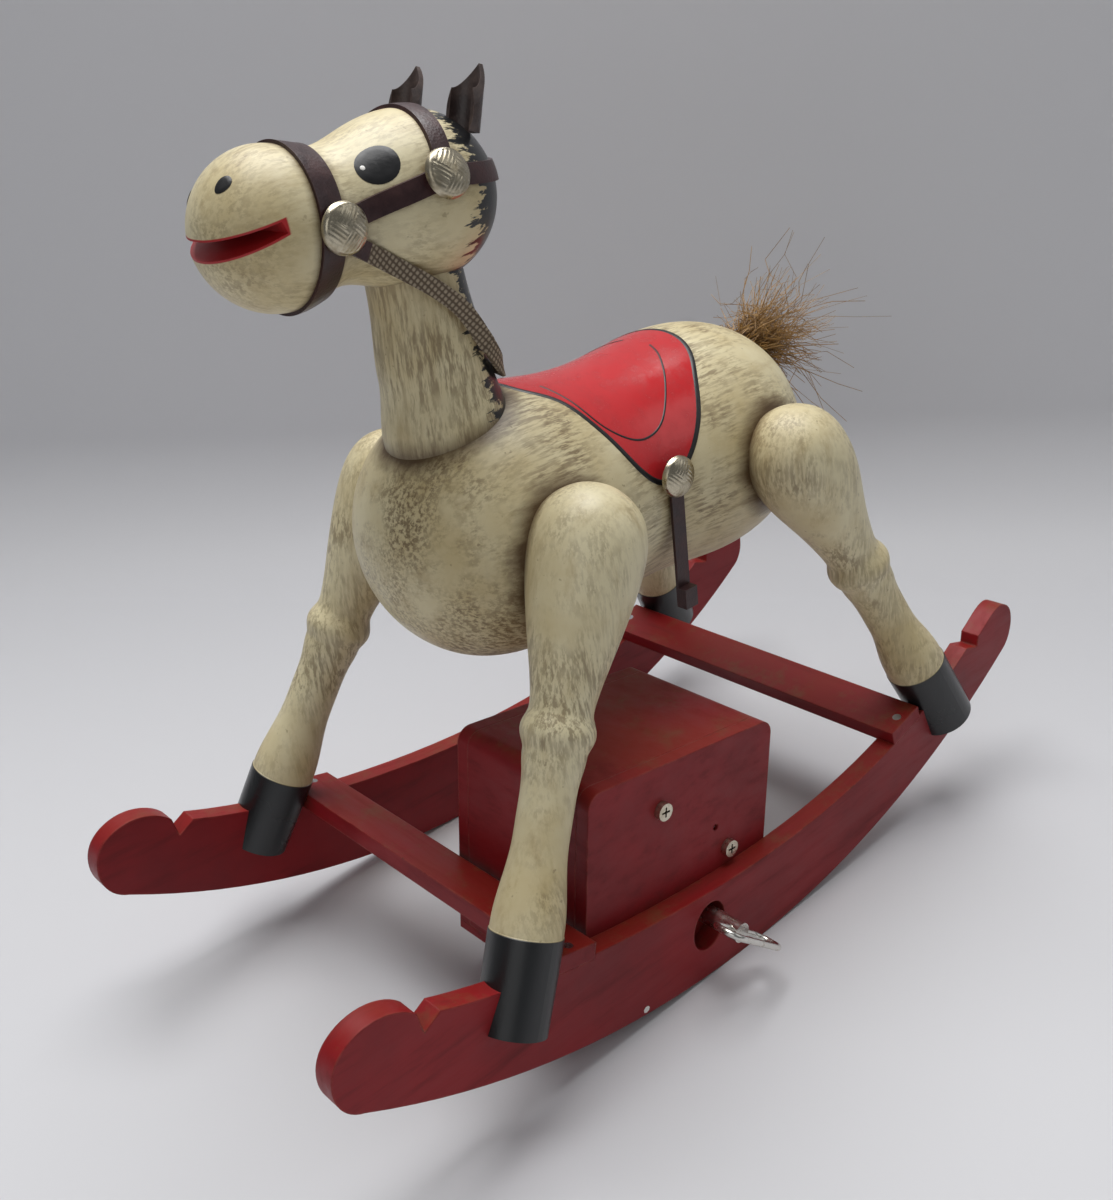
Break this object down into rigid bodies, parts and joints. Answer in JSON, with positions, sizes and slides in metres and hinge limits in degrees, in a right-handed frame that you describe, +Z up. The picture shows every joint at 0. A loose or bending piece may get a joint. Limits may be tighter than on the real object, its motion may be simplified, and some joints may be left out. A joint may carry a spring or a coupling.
{
  "type": "rocking horse music box",
  "caption": "Turned wooden toy horse on two cross-slatted rockers, with a wind-up musical movement in a case beneath it and a key at its left.",
  "frame": {"origin": "on the floor, midway between the lowest points of the two rockers, with the toy resting in balance", "axes": "+X from the head to the tail, +Y to the horse's right, +Z up"},
  "size_m": [0.2791, 0.1527, 0.2483],
  "materials": {
    "ivory_paint": "matte, antiqued",
    "red_paint": "matte paint, worn edges",
    "steel": "satin",
    "brass": "satin",
    "nickel": "satin nickel",
    "leather": "satin",
    "tack_metal": "tarnished",
    "bare_wood": "bare",
    "tail_hair": "frayed hair"
  },
  "bodies": {
    "horse": {"rocker_left": "red_paint", "rocker_right": "red_paint", "front_slat": "red_paint", "rear_slat": "red_paint", "slat_nails": "steel", "body": "ivory_paint", "neck": "ivory_paint", "neck_dowel": "bare_wood", "head": "ivory_paint", "head_dowel": "bare_wood", "leg_front_left": "ivory_paint", "leg_front_right": "ivory_paint", "leg_rear_left": "ivory_paint", "leg_rear_right": "ivory_paint", "leg_dowels": "bare_wood", "ear_left": "leather", "ear_right": "leather", "noseband": "leather", "crown_strap": "leather", "nape_strap": "leather", "cheek_strap_left": "leather", "cheek_strap_right": "leather", "reins": "leather", "bridle_tacks": "tack_metal", "saddle_tacks": "tack_metal", "tail_tuft": "tail_hair", "case_hood": "red_paint", "case_left_side": "red_paint", "case_right_side": "red_paint", "case_base": "red_paint", "case_base_screws": "steel", "movement_bedplate": "brass", "spring_housing": "brass", "mainspring": "steel", "cylinder_bracket": "steel", "comb_base": "brass", "comb": "steel", "comb_screws": "steel", "governor_frame": "steel", "movement_screws": "nickel"},
    "winding": {"winding_arbor": "steel", "great_wheel": "brass", "winding_key_stem": "nickel", "winding_key_loop": "nickel"},
    "cylinder": {"music_cylinder": "brass", "cylinder_pins": "steel"},
    "governor_wheel_body": {"governor_wheel": "brass"},
    "governor_fly_body": {"governor_fly": "steel"},
    "stop_wire_body": {"stop_wire": "steel"},
    "stirrup_left": {"stirrup_strap_left": "leather"},
    "stirrup_right": {"stirrup_strap_right": "leather"}
  },
  "joints": [
    {"name": "winding_key_turn", "type": "hinge", "parent": "horse", "child": "winding", "pos_m": [-0.01354, -0.0571, 0.01908], "axis": [0, -1, 0], "continuous": true},
    {"name": "cylinder_turn", "type": "hinge", "parent": "horse", "child": "cylinder", "pos_m": [-0.01004, -0.0353, 0.04171], "axis": [0.153, 0, 0.9882], "continuous": true},
    {"name": "governor_wheel_turn", "type": "hinge", "parent": "horse", "child": "governor_wheel_body", "pos_m": [0.00133, -0.0353, 0.03995], "axis": [0.153, 0, 0.9882], "continuous": true},
    {"name": "governor_fly_turn", "type": "hinge", "parent": "horse", "child": "governor_fly_body", "pos_m": [0.00671, -0.0421, 0.03942], "axis": [0, -1, 0], "continuous": true},
    {"name": "stop_wire_slide", "type": "slide", "parent": "horse", "child": "stop_wire_body", "axis": [0, -1, 0], "range_m": [0, 0.003]},
    {"name": "stirrup_left_swing", "type": "hinge", "parent": "horse", "child": "stirrup_left", "pos_m": [0.0129, -0.0342, 0.1385], "axis": [0, 1, 0], "range_deg": [-25, 25]},
    {"name": "stirrup_right_swing", "type": "hinge", "parent": "horse", "child": "stirrup_right", "pos_m": [0.0129, 0.0342, 0.1385], "axis": [0, 1, 0], "range_deg": [-25, 25]}
  ],
  "couplings": [
    {"joint": "cylinder_turn", "follows": "winding_key_turn", "ratio": -3.6},
    {"joint": "governor_wheel_turn", "follows": "winding_key_turn", "ratio": 6.4},
    {"joint": "governor_fly_turn", "follows": "winding_key_turn", "ratio": 41.6}
  ]
}
